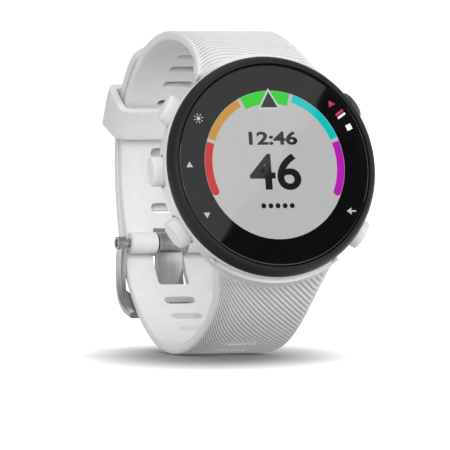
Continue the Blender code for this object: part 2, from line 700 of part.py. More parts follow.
def cut_slots(strap, name, angles, outer):
    """Cuts one slot across a strap half at each angle."""
    slots = bmesh.new()
    for angle in angles:
        add_plate(slots, stadium((-slot_span, 0), (slot_span, 0), SLOT_HALF_WIDTH, 5),
                  -STRAP_THICKNESS, STRAP_THICKNESS,
                  loop_frame(outer(angle) - STRAP_THICKNESS / 2, angle))
    shape_with(strap, name, slots, loop_place)


lower_slots = [LOWER_SLOT_START + step * LOWER_SLOT_PITCH for step in range(LOWER_SLOT_COUNT)]
clear_of_window = SLOT_HALF_WIDTH / STRAP_OUTER + math.radians(2)
cut_slots(strap_lower, "lower_slots", [
    angle for angle in lower_slots
    if not WINDOW_SLOT_START - clear_of_window < angle < WINDOW_SLOT_END + clear_of_window
], lower_outer)
cut_slots(strap_upper, "upper_slots", [
    UPPER_SLOT_START + step * UPPER_SLOT_PITCH + step ** 2 * UPPER_SLOT_SPREAD
    for step in range(UPPER_SLOT_COUNT)
], upper_outer)

window_middle = (WINDOW_SLOT_START + WINDOW_SLOT_END) / 2
window_half = (WINDOW_SLOT_END - WINDOW_SLOT_START) / 2 * STRAP_OUTER
tongue_window = bmesh.new()
add_plate(tongue_window, rounded_box(SLOT_HALF_LENGTH, window_half, 0.0008), -0.002, 0.002,
          loop_frame(STRAP_OUTER - STRAP_THICKNESS / 2, window_middle))
shape_with(strap_lower, "tongue_window", tongue_window, loop_place)

# ----------------------------------------------------------------------- buckle
tongue_room = TONGUE_WIDTH / 2 + GAP
tongue_gap = bmesh.new()
add_plate(tongue_gap, rounded_box(0.0029, 0.0034, 0.0005), -tongue_room, tongue_room,
          Matrix.Translation((0, -0.0006, 0)))
shape_with(strap_upper, "tongue_gap", tongue_gap, side_pin)
pin_bore = bmesh.new()
add_plate(pin_bore, ellipse(BUCKLE_PIN_RADIUS + PIN_CLEARANCE, BUCKLE_PIN_RADIUS + PIN_CLEARANCE, 12),
          -ROLL_HALF_WIDTH - PAST_FACE, ROLL_HALF_WIDTH + PAST_FACE)
shape_with(strap_upper, "pin_bore", pin_bore, side_pin)

frame_inner = max(ROLL_HALF_WIDTH, TAIL_HALF_WIDTH) + GAP
frame_half = frame_inner + FRAME_ARM_WIDTH
turned("buckle_pin", [
    (0, -frame_half + 0.0002),
    (BUCKLE_PIN_RADIUS, -frame_half + 0.0002),
    (BUCKLE_PIN_RADIUS, frame_half - 0.0002),
    (0, frame_half - 0.0002),
], steel, side_pin, 12)


bar_ring = STRAP_OUTER + GAP + FRAME_THICKNESS / 2


def arm_path(arm_steps=7, bar_steps=3):
    """Middle line of the frame: bowed side arms from the pin, then the front bar."""
    start = pin_centre
    end = loop_point(bar_ring, FRAME_BAR_START)
    along = Vector((0, math.cos(FRAME_BAR_START), -math.sin(FRAME_BAR_START)))
    bend = end - along * FRAME_ARM_LEAD
    points = []
    for step in range(arm_steps):
        share = step / arm_steps
        points.append(start * (1 - share) ** 2 + bend * 2 * share * (1 - share) + end * share ** 2)
    for step in range(bar_steps + 1):
        turn = FRAME_BAR_START + (FRAME_BAR_END - FRAME_BAR_START) * step / bar_steps
        points.append(loop_point(bar_ring, turn))
    return points


path = arm_path()
end_insets = {0: 0.0012, 1: 0.0003}
ease_edge = FRAME_THICKNESS * 0.28
sections = []
for step, point in enumerate(path):
    ahead = path[min(step + 1, len(path) - 1)] - path[max(step - 1, 0)]
    normal = Vector((0, ahead.z, -ahead.y)).normalized() * FRAME_THICKNESS / 2
    half = frame_half - end_insets.get(len(path) - 1 - step, 0)
    side = normal.normalized() * (FRAME_THICKNESS / 2 - ease_edge)
    sections.append([point - pin_centre + offset for offset in (
        Vector((-half, 0, 0)) - side, Vector((-half, 0, 0)) + side,
        Vector((-half + ease_edge, 0, 0)) + normal, Vector((half - ease_edge, 0, 0)) + normal,
        Vector((half, 0, 0)) + side, Vector((half, 0, 0)) - side,
        Vector((half - ease_edge, 0, 0)) - normal, Vector((-half + ease_edge, 0, 0)) - normal)])
frame_bm = bmesh.new()
add_sweep(frame_bm, sections)
buckle_frame = solid("buckle_frame", frame_bm, steel, pin_place)
eyes = bmesh.new()
eye_face = frame_half + 0.0002
add_plate(eyes, ellipse(FRAME_EYE_RADIUS, FRAME_EYE_RADIUS, SMALL_STEPS), -eye_face, eye_face)
shape_with(buckle_frame, "frame_eyes", eyes, side_pin, "UNION")

# The window between the arms is everything from behind the pin to the front bar.
bar_edge = loop_point(STRAP_OUTER, FRAME_BAR_START) - pin_centre
opening = bmesh.new()
add_plate(opening, [(-frame_inner, 0.004), (-frame_inner, bar_edge.z + 0.0012),
                    (-frame_inner + 0.0012, bar_edge.z), (frame_inner - 0.0012, bar_edge.z),
                    (frame_inner, bar_edge.z + 0.0012), (frame_inner, 0.004)], -0.006, 0.008,
          Matrix(((1, 0, 0, 0), (0, 0, 1, 0), (0, 1, 0, 0), (0, 0, 0, 1))))
shape_with(buckle_frame, "frame_opening", opening, pin_place)
eye_bore = bmesh.new()
eye_radius = BUCKLE_PIN_RADIUS + PIN_CLEARANCE
add_plate(eye_bore, ellipse(eye_radius, eye_radius, 12), -frame_half - PAST_FACE, frame_half + PAST_FACE)
shape_with(buckle_frame, "frame_eye_bore", eye_bore, side_pin)
notch = bmesh.new()
add_plate(notch, rounded_box(tongue_room, 2 * FRAME_THICKNESS, 0.0003), GAP, 2 * FRAME_THICKNESS,
          Matrix.Translation(-pin_centre) @ loop_frame(STRAP_OUTER + GAP, math.radians(124)))
shape_with(buckle_frame, "bar_notch", notch, pin_place)

# The tongue leaves the pin, passes out through the stretched slot and rests on the bar.
tongue_line = [
    Vector((0, 0.0009, -0.0003)),
    loop_point(STRAP_OUTER - 0.0013, math.radians(107.8)) - pin_centre,
    loop_point(STRAP_OUTER - 0.0005, math.radians(111.5)) - pin_centre,
    loop_point(STRAP_OUTER + 0.0001, math.radians(114.8)) - pin_centre,
    loop_point(STRAP_OUTER + 0.0012, math.radians(118.6)) - pin_centre,
    loop_point(STRAP_OUTER + 0.0017, math.radians(122.0)) - pin_centre,
    loop_point(STRAP_OUTER + 0.0016, math.radians(127.6)) - pin_centre,
]
tongue_tip = len(tongue_line) - 1
sections = []
for step, point in enumerate(tongue_line):
    ahead = tongue_line[min(step + 1, tongue_tip)] - tongue_line[max(step - 1, 0)]
    normal = Vector((0, ahead.z, -ahead.y)).normalized() * TONGUE_THICKNESS / 2
    half = TONGUE_WIDTH / 2 - (TONGUE_TAPER if step == tongue_tip else 0)
    across = Vector((half, 0, 0))
    sections.append([point - across - normal, point - across + normal,
                     point + across + normal, point + across - normal])
tongue_bm = bmesh.new()
add_sweep(tongue_bm, sections)
tongue = solid("buckle_tongue", tongue_bm, steel, pin_place)
tongue_roll = bmesh.new()
add_plate(tongue_roll, ellipse(TONGUE_ROLL, TONGUE_ROLL, SMALL_STEPS), -TONGUE_WIDTH / 2,
          TONGUE_WIDTH / 2)
shape_with(tongue, "tongue_roll", tongue_roll, side_pin, "UNION")
tongue_bore = bmesh.new()
add_plate(tongue_bore, ellipse(eye_radius, eye_radius, 12), -TONGUE_WIDTH, TONGUE_WIDTH)
shape_with(tongue, "tongue_bore", tongue_bore, side_pin)

# ----------------------------------------------------------------------- keeper
keeper_start = KEEPER_ANGLE - KEEPER_SWEEP / 2
keeper_end = KEEPER_ANGLE + KEEPER_SWEEP / 2
hole_half = upper_half_width(keeper_start - KEEPER_TRAVEL) + GAP
hole_inner = upper_outer(keeper_end + KEEPER_TRAVEL) - STRAP_THICKNESS - GAP
hole_outer = lower_outer(keeper_start - KEEPER_TRAVEL) + GAP


def keeper_sections(start, end, half_width, inner, outer, corner, count):
    """Rings of a square tube's outline, bent round the loop."""
    half_height = (outer - inner) / 2
    outline = rounded_box(half_width, half_height, corner)
    middle = (outer + inner) / 2
    angles = [start + (end - start) * step / count for step in range(count + 1)]
    return [[loop_point(middle + y, angle, x) for x, y in outline] for angle in angles]


keeper_bm = bmesh.new()
add_sweep(keeper_bm, keeper_sections(keeper_start, keeper_end, hole_half + KEEPER_WALL,
                                     hole_inner - KEEPER_WALL, hole_outer + KEEPER_WALL,
                                     KEEPER_WALL * 1.3, 5))
keeper = solid("strap_keeper", keeper_bm, silicone, loop_place)
keeper_hole = bmesh.new()
add_sweep(keeper_hole, keeper_sections(keeper_start - 0.05, keeper_end + 0.05, hole_half,
                                       hole_inner, hole_outer, KEEPER_WALL * 0.5, 7))
shape_with(keeper, "keeper_hole", keeper_hole, loop_place)
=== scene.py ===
"""Looks for a small round GPS running watch with a buckled white silicone strap.

The watch is drawn in the case's own frame, in metres: X runs from 9 to 3 o'clock,
Y from the glass into the wrist, Z from 6 to 12 o'clock.  The case leans back.
"""

import math

import bmesh
import bpy
from mathutils import Matrix, Vector


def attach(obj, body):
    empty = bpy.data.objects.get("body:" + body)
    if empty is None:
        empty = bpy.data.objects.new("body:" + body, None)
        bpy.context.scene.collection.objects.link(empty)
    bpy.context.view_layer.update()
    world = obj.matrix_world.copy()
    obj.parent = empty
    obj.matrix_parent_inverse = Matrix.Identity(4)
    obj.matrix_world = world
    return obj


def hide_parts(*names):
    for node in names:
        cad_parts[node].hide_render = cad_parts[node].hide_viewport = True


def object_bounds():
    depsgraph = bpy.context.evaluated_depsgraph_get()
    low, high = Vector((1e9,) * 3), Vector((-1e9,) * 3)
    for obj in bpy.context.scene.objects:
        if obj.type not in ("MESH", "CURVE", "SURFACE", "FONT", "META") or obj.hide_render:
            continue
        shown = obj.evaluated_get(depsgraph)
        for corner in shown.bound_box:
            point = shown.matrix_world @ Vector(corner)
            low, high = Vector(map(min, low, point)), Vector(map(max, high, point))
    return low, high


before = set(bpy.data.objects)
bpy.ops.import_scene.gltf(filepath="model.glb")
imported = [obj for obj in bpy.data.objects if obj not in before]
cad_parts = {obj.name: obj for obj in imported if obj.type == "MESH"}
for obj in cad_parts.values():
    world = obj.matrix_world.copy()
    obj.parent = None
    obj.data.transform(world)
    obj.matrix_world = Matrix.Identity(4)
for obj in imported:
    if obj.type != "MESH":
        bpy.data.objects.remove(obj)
cad_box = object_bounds()

# --- Middle case ---------------------------------------------------------------
# The middle of the case is one white fibre-filled polymer moulding with four strap
# lugs. Its skin is satin with a fine mould grain, and its edges are slightly eased.
case_radius = 0.01975
case_thickness = 0.0114
lean_degrees = -11.1
lean = (Matrix.Rotation(math.radians(lean_degrees), 4, "X")
        @ Matrix.Translation((0, -case_thickness, 0)))


def surface(name, colour, roughness, metallic=0.0, mottle=0.05, grain=2500.0, relief=0.00001,
            stretch=(1, 1, 1)):
    """Principled material with mottled colour, uneven gloss and a fine raised grain."""
    made = bpy.data.materials.new(name)
    made.use_nodes = True
    nodes, links = made.node_tree.nodes, made.node_tree.links
    shader = nodes["Principled BSDF"]
    shader.inputs["Metallic"].default_value = metallic
    place = nodes.new("ShaderNodeTexCoord")
    mapping = nodes.new("ShaderNodeMapping")
    mapping.inputs["Scale"].default_value = stretch
    links.new(place.outputs["Object"], mapping.inputs["Vector"])
    broad = nodes.new("ShaderNodeTexNoise")
    broad.inputs["Scale"].default_value = grain / 9
    broad.inputs["Detail"].default_value = 5
    fine = nodes.new("ShaderNodeTexNoise")
    fine.inputs["Scale"].default_value = grain
    fine.inputs["Detail"].default_value = 3
    for noise in (broad, fine):
        links.new(mapping.outputs["Vector"], noise.inputs["Vector"])
    tint = nodes.new("ShaderNodeValToRGB")
    tint.name = "tint"
    for stop, share in zip(tint.color_ramp.elements, (1 - mottle, 1 + mottle)):
        stop.color = (*[min(part * share, 1) for part in colour], 1)
    tint.color_ramp.elements[0].position = 0.3
    tint.color_ramp.elements[1].position = 0.7
    links.new(broad.outputs["Fac"], tint.inputs["Fac"])
    links.new(tint.outputs["Color"], shader.inputs["Base Color"])
    gloss = nodes.new("ShaderNodeMapRange")
    gloss.inputs["To Min"].default_value = roughness * 0.85
    gloss.inputs["To Max"].default_value = min(roughness * 1.15, 1)
    links.new(fine.outputs["Fac"], gloss.inputs["Value"])
    links.new(gloss.outputs["Result"], shader.inputs["Roughness"])
    raised = nodes.new("ShaderNodeBump")
    raised.inputs["Strength"].default_value = 0.5
    raised.inputs["Distance"].default_value = relief
    links.new(fine.outputs["Fac"], raised.inputs["Height"])
    links.new(raised.outputs["Normal"], shader.inputs["Normal"])
    return made


def add_piece(name, bm, material, body, slot, *nodes, place=lean, sharp=35):
    """Makes the bmesh a piece in its place, riding on a body, for the CAD nodes it stands for."""
    bmesh.ops.transform(bm, matrix=place, verts=bm.verts)
    mesh = bpy.data.meshes.new(name)
    bm.to_mesh(mesh)
    bm.free()
    mesh.shade_smooth()
    mesh.set_sharp_from_angle(angle=math.radians(sharp))
    mesh.materials.append(material)
    made = bpy.data.objects.new(name, mesh)
    bpy.context.scene.collection.objects.link(made)
    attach(made, body)
    if nodes:
        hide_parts(*nodes)
    return made


def eased(node, width, segments=2, angle=38):
    """Copy of a CAD node's solid, with its sharp edges rounded."""
    bm = bmesh.new()
    bm.from_mesh(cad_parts[node].data)
    bmesh.ops.remove_doubles(bm, verts=bm.verts, dist=1e-6)
    bmesh.ops.dissolve_limit(bm, angle_limit=math.radians(0.6), verts=bm.verts, edges=bm.edges)
    edges = [edge for edge in bm.edges
             if len(edge.link_faces) == 2 and edge.calc_face_angle() > math.radians(angle)]
    bmesh.ops.bevel(bm, geom=edges, offset=width, offset_type="OFFSET", affect="EDGES",
                    segments=segments, profile=0.5, material=-1, clamp_overlap=True)
    bmesh.ops.triangulate(bm, faces=bm.faces)
    return bm


white_polymer = surface("satin white polymer", (0.80, 0.80, 0.81), 0.38, relief=0.000006)
add_piece("case_body", eased("middle_case", 0.00012), white_polymer, "case", "white_polymer",
          "middle_case", place=Matrix(), sharp=30)

# --- Side buttons --------------------------------------------------------------
# Five oval push buttons sit in pockets round the case, each on a steel stem with a
# snap clip. Four are white polymer; the one that starts an activity is black.
black_polymer = surface("satin black polymer", (0.035, 0.036, 0.039), 0.34, mottle=0.10)
button_names = ("light", "up", "down", "start", "back")
for name in button_names:
    skin, slot = white_polymer, "white_polymer"
    if name == "start":
        skin, slot = black_polymer, "black_polymer"
    add_piece("button_cap_" + name, eased("button_" + name, 0.00022, 3, 30), skin,
              "button_" + name, slot, "button_" + name, place=Matrix())


def refinish(material, *nodes):
    """Gives CAD nodes that keep their shape a real finish."""
    for node in nodes:
        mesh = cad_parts[node].data
        mesh.materials.clear()
        mesh.materials.append(material)


steel = surface("brushed steel", (0.42, 0.42, 0.43), 0.30, 1.0, 0.12, 9000, 0.000004, (0.08, 1, 1))
grey_polymer = surface("moulded grey polymer", (0.55, 0.56, 0.57), 0.48)
for name in button_names:
    refinish(steel, "stem_clip_" + name)
    refinish(grey_polymer, "button_switch_" + name)

# --- Bezel ---------------------------------------------------------------------
# A black fibre-filled polymer ring is welded on the front of the case. Its shoulder
# falls away in a broad soft chamfer, and a thin lip stands round the glass. The white
# rim of the case shows below it.
to_depth = Matrix.Rotation(-math.pi / 2, 4, "X")


def turned(profile, steps=144):
    """Turns an outline of (radius, depth) points in millimetres about the case's axis."""
    bm = bmesh.new()
    verts = [bm.verts.new((radius / 1000, 0, depth / 1000)) for radius, depth in profile]
    edges = [bm.edges.new(pair) for pair in zip(verts, verts[1:])]
    if profile[0][0] > 0:
        edges.append(bm.edges.new((verts[-1], verts[0])))
    bmesh.ops.spin(bm, geom=verts + edges, axis=(0, 0, 1), cent=(0, 0, 0),
                   angle=2 * math.pi, steps=steps, use_merge=True)
    bmesh.ops.remove_doubles(bm, verts=bm.verts, dist=1e-7)
    bmesh.ops.recalc_face_normals(bm, faces=bm.faces)
    bmesh.ops.transform(bm, matrix=to_depth, verts=bm.verts)
    return bm


bezel_black = surface("bezel black", (0.016, 0.017, 0.019), 0.40, mottle=0.08, relief=0.000008)
bezel_black.node_tree.nodes["Principled BSDF"].inputs["Specular IOR Level"].default_value = 0.12
add_piece("bezel", turned([
    (18.15, 0.02), (18.17, -0.10), (18.24, -0.17), (18.34, -0.20), (18.50, -0.20),
    (18.66, -0.15), (18.90, 0.02), (19.16, 0.30), (19.38, 0.66), (19.56, 1.06),
    (19.66, 1.42), (19.69, 1.70), (19.68, 1.95), (19.60, 2.05), (17.05, 2.05),
    (17.05, 1.70), (18.15, 1.70),
]), bezel_black, "case", "black_polymer", "bezel_ring", sharp=40)
add_piece("case_rim", turned([
    (17.05, 2.08), (19.58, 2.08), (19.70, 2.16), (19.745, 2.35), (19.745, 3.05),
    (19.70, 3.25), (19.50, 3.30), (17.05, 3.30),
]), white_polymer, "case", "white_polymer", sharp=40)

# --- Cover glass ---------------------------------------------------------------
# One flat disc of hardened glass lies inside the bezel's lip. A wide border is
# printed black on its back, so only the round display shows through it.
lens_black = surface("glass over black print", (0.0045, 0.0045, 0.0050), 0.035, mottle=0.2,
                     relief=0)
add_piece("lens", turned([
    (0, 0), (13.1, 0), (17.60, 0), (17.80, 0.03), (17.95, 0.12), (18.04, 0.28),
    (18.04, 1.05), (17.95, 1.10), (0, 1.10),
]), lens_black, "case", "cover_glass", "cover_glass", sharp=50)

# --- Display picture -----------------------------------------------------------
# The reflective colour display is bonded to the back of the glass, so its picture
# lies at the surface: a grey field, five coloured arcs, a pointer and figures.
display_radius = 13.25
arc_outer = 13.2
round_end_drop = -0.006
ink_top = 0.035


def on_dial(radius, degrees, level=0.0):
    """Point on the dial at a radius in millimetres and an angle up from 3 o'clock."""
    turn = math.radians(degrees)
    return Vector((radius * math.cos(turn), radius * math.sin(turn), level)) / 1000


def raise_faces(bm, low, high):
    """Gives flat faces drawn at height 0 a thickness, from low to high millimetres."""
    bmesh.ops.translate(bm, vec=(0, 0, low / 1000), verts=bm.verts)
    grown = bmesh.ops.extrude_face_region(bm, geom=bm.faces[:])
    top = [part for part in grown["geom"] if isinstance(part, bmesh.types.BMVert)]
    bmesh.ops.translate(bm, vec=(0, 0, (high - low) / 1000), verts=top)
    bmesh.ops.recalc_face_normals(bm, faces=bm.faces)


# The dial's drawing plane, with Z up out of the glass, laid on the case's front.
dial = lean @ Matrix.Rotation(math.pi / 2, 4, "X")


def inked(name, colour, mottle=0.02):
    """Display colour seen through polished glass."""
    return surface(name, colour, 0.035, mottle=mottle, relief=0)


field = bmesh.new()
bmesh.ops.create_circle(field, cap_ends=True, segments=144, radius=display_radius / 1000)
raise_faces(field, -0.2, 0.02)
add_piece("display_field", field, inked("display grey", (0.42, 0.42, 0.425)), "case",
          "display_panel", place=dial)


def arc(bm, inner, outer, start, end, round_end=None):
    """Adds a band between two radii and two angles, with a round end just below it if asked."""
    pair = [bm.verts.new(on_dial(inner, start)), bm.verts.new(on_dial(outer, start))]
    edge = bm.edges.new(pair)
    bmesh.ops.spin(bm, geom=pair + [edge], axis=(0, 0, 1), cent=(0, 0, 0),
                   angle=math.radians(end - start), steps=max(4, round(abs(end - start) / 2)))
    if round_end is not None:
        place = Matrix.Translation(on_dial((inner + outer) / 2, round_end, round_end_drop))
        bmesh.ops.create_circle(bm, cap_ends=True, segments=24, radius=(outer - inner) / 2000,
                                matrix=place)


for name, colour, inner, start, end, round_end in (
        ("red", (0.47, 0.022, 0.020), 11.80, 161.5, 202.0, 202.0),
        ("orange", (0.47, 0.235, 0.030), 11.80, 118.5, 158.5, None),
        ("green", (0.020, 0.50, 0.022), 10.95, 73.5, 115.5, None),
        ("cyan", (0.004, 0.45, 0.44), 11.80, 22.0, 70.5, None),
        ("magenta", (0.40, 0.012, 0.39), 11.80, -23.0, 19.0, -23.0)):
    band = bmesh.new()
    arc(band, inner, arc_outer, start, end, round_end)
    raise_faces(band, 0.0, ink_top)
    add_piece("arc_" + name, band, inked("arc " + name, colour), "case", "display_panel",
              place=dial)

# The pointer is a dark arrowhead with a pale outline, just off the top of the dial.
for name, colour, size, level in (("pointer_edge", (0.50, 0.50, 0.505), 1.42, 0.045),
                                  ("pointer", (0.020, 0.020, 0.022), 1.05, 0.055)):
    head = bmesh.new()
    middle = on_dial(11.35, 91.5)
    corners = [middle + Vector((x, y, 0)) / 1000 * size
               for x, y in ((-1.55, -1.05), (1.55, -1.05), (0, 1.65))]
    head.faces.new([head.verts.new(corner) for corner in corners])
    raise_faces(head, 0.0, level)
    add_piece("dial_" + name, head, inked(name.replace("_", " "), colour), "case", "display_panel",
              place=dial)

# --- Display figures -----------------------------------------------------------
# The reading is a pair of large numerals, with a smaller time above it and a short
# row of level dots below. Each is a thin flat shape of dark display ink.
ink = inked("dark display ink", (0.012, 0.012, 0.014), 0.1)


def figures(name, text, height, width, middle, weight):
    """Sets numerals to a height and width in millimetres, centred on the dial."""
    curve = bpy.data.curves.new(name, "FONT")
    curve.body = text
    curve.offset = weight
    drawn = bpy.data.objects.new(name, curve)
    bpy.context.scene.collection.objects.link(drawn)
    bpy.context.view_layer.update()
    whole = drawn.evaluated_get(bpy.context.evaluated_depsgraph_get())
    mesh = bpy.data.meshes.new_from_object(whole)
    bpy.data.objects.remove(drawn)
    bm = bmesh.new()
    bm.from_mesh(mesh)
    bmesh.ops.remove_doubles(bm, verts=bm.verts, dist=1e-5)
    low = Vector([min(vert.co[axis] for vert in bm.verts) for axis in range(3)])
    high = Vector([max(vert.co[axis] for vert in bm.verts) for axis in range(3)])
    size = high - low
    bmesh.ops.translate(bm, vec=-(low + high) / 2, verts=bm.verts)
    bmesh.ops.scale(bm, vec=(width / size.x / 1000, height / size.y / 1000, 1), verts=bm.verts)
    bmesh.ops.translate(bm, vec=(middle[0] / 1000, middle[1] / 1000, 0), verts=bm.verts)
    raise_faces(bm, 0.0, ink_top)
    add_piece(name, bm, ink, "case", "display_panel", place=dial)


figures("reading", "46", 6.5, 9.7, (-0.05, -1.25), 0.018)
figures("small_time", "12:46", 2.4, 9.2, (0.0, 4.75), 0.030)
dot_pitch = 1.35
dot_height = -7.3
dots = bmesh.new()
for step in range(5):
    place = Matrix.Translation(Vector(((step - 2) * dot_pitch, dot_height, 0)) / 1000)
    bmesh.ops.create_circle(dots, cap_ends=True, segments=20, radius=0.00046, matrix=place)
raise_faces(dots, 0.0, ink_top)
add_piece("level_dots", dots, ink, "case", "display_panel", place=dial)

# --- Button signs --------------------------------------------------------------
# Small signs are printed on the border beside each button: a lamp, arrows up, down
# and back, and a coloured start mark beside two bars and a stop square.
border_radius = 16.1
sign_top = 0.02
sign_grey = surface("pale sign print", (0.46, 0.46, 0.47), 0.10, mottle=0.03, relief=0)
sign_pink = surface("pink sign print", (0.46, 0.030, 0.16), 0.10, mottle=0.03, relief=0)
sign_white = surface("white sign print", (0.85, 0.85, 0.85), 0.10, mottle=0.02, relief=0)


def sign_place(degrees, radius=border_radius):
    """Frame on the border with X along the rim and Y outwards."""
    turn = Matrix.Rotation(math.radians(degrees - 90), 4, "Z")
    return Matrix.Translation(on_dial(radius, degrees)) @ turn


def add_sign(bm, place, *outlines):
    """Adds closed outlines, in millimetres, as flat faces."""
    for outline in outlines:
        bm.faces.new([bm.verts.new(place @ (Vector((x, y, 0)) / 1000)) for x, y in outline])


def bar(x, y, half_x, half_y):
    """Outline of a small upright bar."""
    return [(x - half_x, y - half_y), (x + half_x, y - half_y), (x + half_x, y + half_y),
            (x - half_x, y + half_y)]


signs = bmesh.new()
lamp = sign_place(149)
bmesh.ops.create_circle(signs, cap_ends=True, segments=16, radius=0.00036, matrix=lamp)
for ray in range(8):
    turned_ray = lamp @ Matrix.Rotation(math.pi / 4 * ray, 4, "Z")
    add_sign(signs, turned_ray, bar(0.72, 0, 0.17, 0.075))
for degrees, point in ((180, 1), (213, -1)):
    place = Matrix.Translation(on_dial(border_radius, degrees))
    arrow = [(-0.62, -0.35 * point), (0.62, -0.35 * point), (0, 0.65 * point)]
    add_sign(signs, place, arrow[::point])
back = Matrix.Translation(on_dial(16.2, -31))
add_sign(signs, back, [(-0.85, 0), (0.05, -0.62), (0.05, 0.62)], bar(0.50, 0, 0.42, 0.13))
raise_faces(signs, 0.0, sign_top)
add_piece("border_signs", signs, sign_grey, "case", "cover_glass", place=dial)
pink = bmesh.new()
add_sign(pink, Matrix.Translation(on_dial(15.9, 43)), [(-0.5, -0.62), (0.72, 0), (-0.5, 0.62)])
add_sign(pink, sign_place(35.5, 16.0), bar(0, 0, 0.24, 0.85))
raise_faces(pink, 0.0, sign_top)
add_piece("start_sign", pink, sign_pink, "case", "cover_glass", place=dial)
pale = bmesh.new()
add_sign(pale, sign_place(33.1, 16.0), bar(0, 0, 0.20, 0.85))
add_sign(pale, sign_place(24.5), bar(0, 0, 0.52, 0.52))
raise_faces(pale, 0.0, sign_top)
add_piece("stop_sign", pale, sign_white, "case", "cover_glass", place=dial)

# --- Parts sealed in the case --------------------------------------------------
# Behind the glass lie its seal, the display panel, the antenna ring, the holder, the
# main board, the cell, the motor and the sensor board. None shows from outside.
rubber = surface("black seal rubber", (0.03, 0.03, 0.03), 0.75, mottle=0.15)
refinish(rubber, "glass_gasket", "back_gasket")
refinish(surface("panel edge", (0.30, 0.31, 0.33), 0.30), "display_module")
gold = surface("gold plate", (0.83, 0.62, 0.25), 0.24, 1.0, 0.06, 6000)
refinish(gold, "antenna_ring")
refinish(grey_polymer, "display_holder")
refinish(surface("green solder mask", (0.02, 0.16, 0.07), 0.40, mottle=0.3), "main_board",
         "sensor_board")
refinish(surface("cell foil", (0.60, 0.60, 0.62), 0.32, 1.0, 0.08, 3500), "battery",
         "vibration_motor")

# --- Back cover ----------------------------------------------------------------
# The white back plate is screwed to the case at four corners and carries the gold
# charging pads. A dark polished window over the pulse sensor stands in its middle.
add_piece("back_plate", eased("back_cover", 0.00008), white_polymer, "case", "white_polymer",
          "back_cover", place=Matrix(), sharp=30)
window_glass = surface("sensor window", (0.010, 0.010, 0.013), 0.06, mottle=0.4, relief=0)
plate_depth = 9.20
window_root = plate_depth - 0.8
add_piece("window", turned([
    (0, window_root), (5.8, window_root), (5.8, plate_depth), (6.78, 9.22), (6.80, 9.30),
    (6.80, 10.40), (6.72, 10.62), (6.50, 10.90), (6.10, 11.20), (5.80, 11.36), (5.40, 11.40), (0, 11.40),
], 96), window_glass, "case", "sensor_window", "sensor_window", sharp=50)
lights = bmesh.new()
for x, z, radius in ((0, 2.9, 0.9), (-2.5, -1.45, 0.9), (2.5, -1.45, 0.9)):
    place = Matrix.Translation(Vector((x, z, 0)) / 1000)
    bmesh.ops.create_circle(lights, cap_ends=True, segments=28, radius=radius / 1000, matrix=place)
add_sign(lights, Matrix(), bar(0, 0, 1.15, 1.15))
raise_faces(lights, -0.08, -0.001)
wrist_side = (lean @ Matrix.Translation((0, case_thickness, 0))
              @ Matrix.Rotation(-math.pi / 2, 4, "X"))
lamp_green = surface("sensor lamps", (0.10, 0.16, 0.09), 0.12, mottle=0.5, grain=9000)
add_piece("sensor_lamps", lights, lamp_green, "case", "sensor_window", place=wrist_side)
for number in range(1, 5):
    name = "back_screw_%d" % number
    add_piece("cover_screw_%d" % number, eased(name, 0.00005), steel, "case", "brushed_steel",
              name, place=Matrix())
    refinish(gold, "charging_contact_%d" % number)

# --- Strap halves --------------------------------------------------------------
# Both halves are moulded in white silicone on quick-release spring bars. Fine curved
# grooves are moulded in the outer face, and a row of slots runs down the middle.
loop_depth = 0.0272
strap_outer = 0.0289
strap_thickness = 0.0016
slot_half_length = 0.0030
slot_half_width = 0.0009
upper_half_width = 0.0096
lower_half_width = 0.0091
flare_width = 0.0028
flare_start = 16
flare_span = 40.5
flare_power = 3.0
buckle_tuck = 0.0019
tail_lift = 0.0034
tail_settle = 0.0016
tip_start = 29
tip_span = 14
pin_ring = 0.02505
pin_turn = 101.4


def ease(value, start, end):
    """Goes smoothly from 0 at start to 1 at end."""
    share = min(max((value - start) / (end - start), 0.0), 1.0)
    return share * share * (3 - 2 * share)


def on_loop(ring, degrees, x=0.0):
    """Point on the loop: 0 degrees is over 12 o'clock, 90 is the back."""
    turn = math.radians(degrees)
    return Vector((x, loop_depth + ring * math.sin(turn), ring * math.cos(turn)))


def across_loop(ring, degrees):
    """Frame on the loop: X across the strap, Y along it towards 6 o'clock, Z out."""
    turn = math.radians(degrees)
    along = Vector((0, math.cos(turn), -math.sin(turn)))
    out = Vector((0, math.sin(turn), math.cos(turn)))
    axes = Matrix((Vector((1, 0, 0)), along, out)).transposed().to_4x4()
    return Matrix.Translation(on_loop(ring, degrees)) @ axes


def flare(degrees):
    """Extra half width where the strap opens out to meet the case."""
    return flare_width * (max(0.0, abs(degrees) - flare_start) / flare_span) ** flare_power


def upper_width(degrees):
    """Half width of the buckle half."""
    if degrees < 0:
        return upper_half_width + flare(degrees)
    return upper_half_width - 0.0014 * degrees / pin_turn


def upper_ring(degrees):
    """Outer radius of the buckle half, which tucks in towards its pin."""
    return strap_outer - buckle_tuck * ease(degrees, 40, 95)


def lower_width(degrees):
    """Half width of the hole half, from the case down to its rounded tip."""
    if degrees > 180:
        return lower_half_width + flare(degrees - 180)
    width = lower_half_width - 0.0005 * ease(degrees, 180, 125)
    into_tip = (tip_start - degrees) / tip_span
    return width * math.sqrt(max(1 - into_tip ** 2, 0.02)) if into_tip > 0 else width


def lower_ring(degrees):
    """Outer radius of the hole half, whose tail rises over the buckle half and settles again."""
    lifted = strap_outer + tail_lift * ease(degrees, 92, 38)
    return lifted - tail_settle * ease(degrees, 34, 12)


